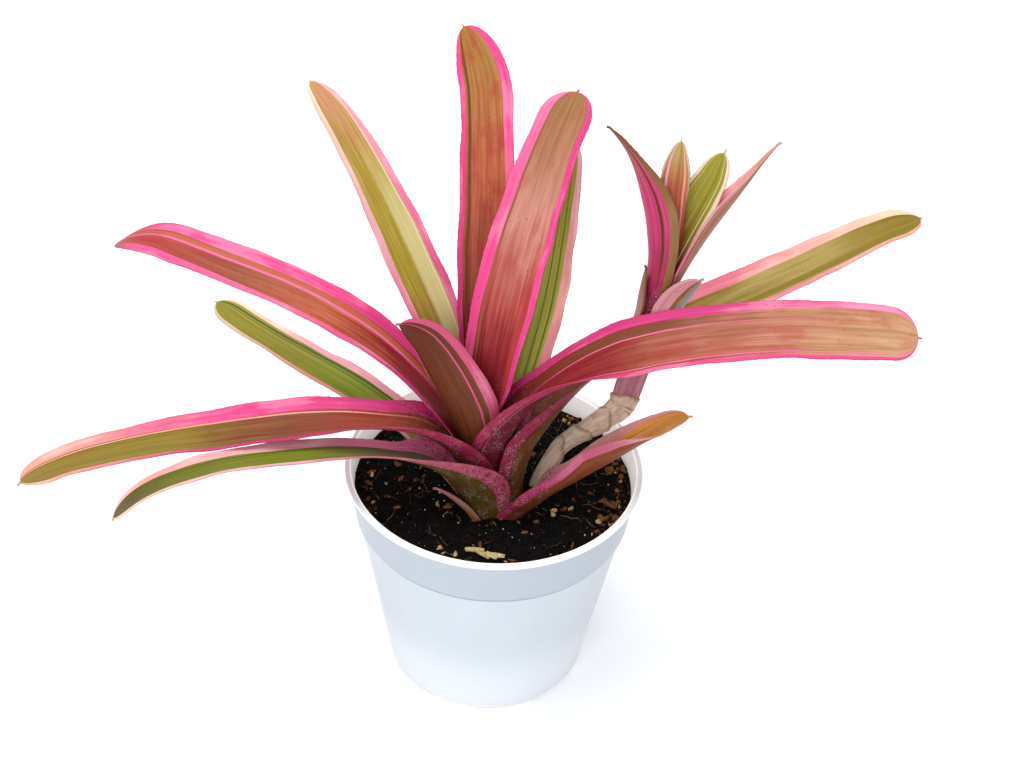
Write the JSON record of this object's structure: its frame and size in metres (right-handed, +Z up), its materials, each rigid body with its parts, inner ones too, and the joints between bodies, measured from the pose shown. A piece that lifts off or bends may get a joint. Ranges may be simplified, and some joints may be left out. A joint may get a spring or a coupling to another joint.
{
  "type": "neoregelia bromeliad",
  "caption": "Potted neoregelia bromeliad: a leaning rosette of variegated strap leaves with a young rosette on a stolon, in a round tapered nursery pot.",
  "frame": {"origin": "centre of the pot's underside, on the surface that the pot stands on", "axes": "+Z up along the pot's axis; +X to the side that the young rosette grows to, along the plant's longest spread; -Y is the front"},
  "size_m": [0.3619, 0.1662, 0.2671],
  "materials": {
    "pot": "white injection-moulded plastic, satin gloss",
    "soil": "moist dark potting mix with bark crumbs, matt; wood stands in for the mix",
    "stem": "brown plant stem, matt; wood stands in for plant tissue",
    "leaf_01": "smooth satin leaf; leather stands in for plant tissue",
    "leaf_02": "smooth satin leaf; leather stands in for plant tissue",
    "leaf_03": "smooth satin leaf; leather stands in for plant tissue",
    "leaf_04": "smooth satin leaf; leather stands in for plant tissue",
    "leaf_05": "smooth satin leaf; leather stands in for plant tissue",
    "leaf_06": "smooth satin leaf; leather stands in for plant tissue",
    "leaf_07": "smooth satin leaf; leather stands in for plant tissue",
    "leaf_08": "smooth satin leaf; leather stands in for plant tissue",
    "leaf_09": "smooth satin leaf; leather stands in for plant tissue",
    "leaf_10": "smooth satin leaf; leather stands in for plant tissue",
    "leaf_11": "smooth satin leaf; leather stands in for plant tissue",
    "leaf_12": "smooth satin leaf; leather stands in for plant tissue",
    "dried_scale": "papery dry bracts, matt; wood stands in for plant tissue",
    "stolon": "papery dry bracts, matt; wood stands in for plant tissue",
    "young_stem": "smooth satin leaf; leather stands in for plant tissue",
    "young_bract_1": "smooth satin leaf; leather stands in for plant tissue",
    "young_bract_2": "smooth satin leaf; leather stands in for plant tissue",
    "young_leaf_1": "smooth satin leaf; leather stands in for plant tissue",
    "young_leaf_2": "smooth satin leaf; leather stands in for plant tissue",
    "young_leaf_3": "smooth satin leaf; leather stands in for plant tissue",
    "young_leaf_4": "smooth satin leaf; leather stands in for plant tissue"
  },
  "bodies": {
    "root": {"pot": "pot", "soil": "soil", "stem": "stem", "leaf_01": "leaf_01", "leaf_02": "leaf_02", "leaf_03": "leaf_03", "leaf_04": "leaf_04", "leaf_05": "leaf_05", "leaf_06": "leaf_06", "leaf_07": "leaf_07", "leaf_08": "leaf_08", "leaf_09": "leaf_09", "leaf_10": "leaf_10", "leaf_11": "leaf_11", "leaf_12": "leaf_12", "dried_scale": "dried_scale", "stolon": "stolon", "young_stem": "young_stem", "young_bract_1": "young_bract_1", "young_bract_2": "young_bract_2", "young_leaf_1": "young_leaf_1", "young_leaf_2": "young_leaf_2", "young_leaf_3": "young_leaf_3", "young_leaf_4": "young_leaf_4"}
  },
  "joints": []
}
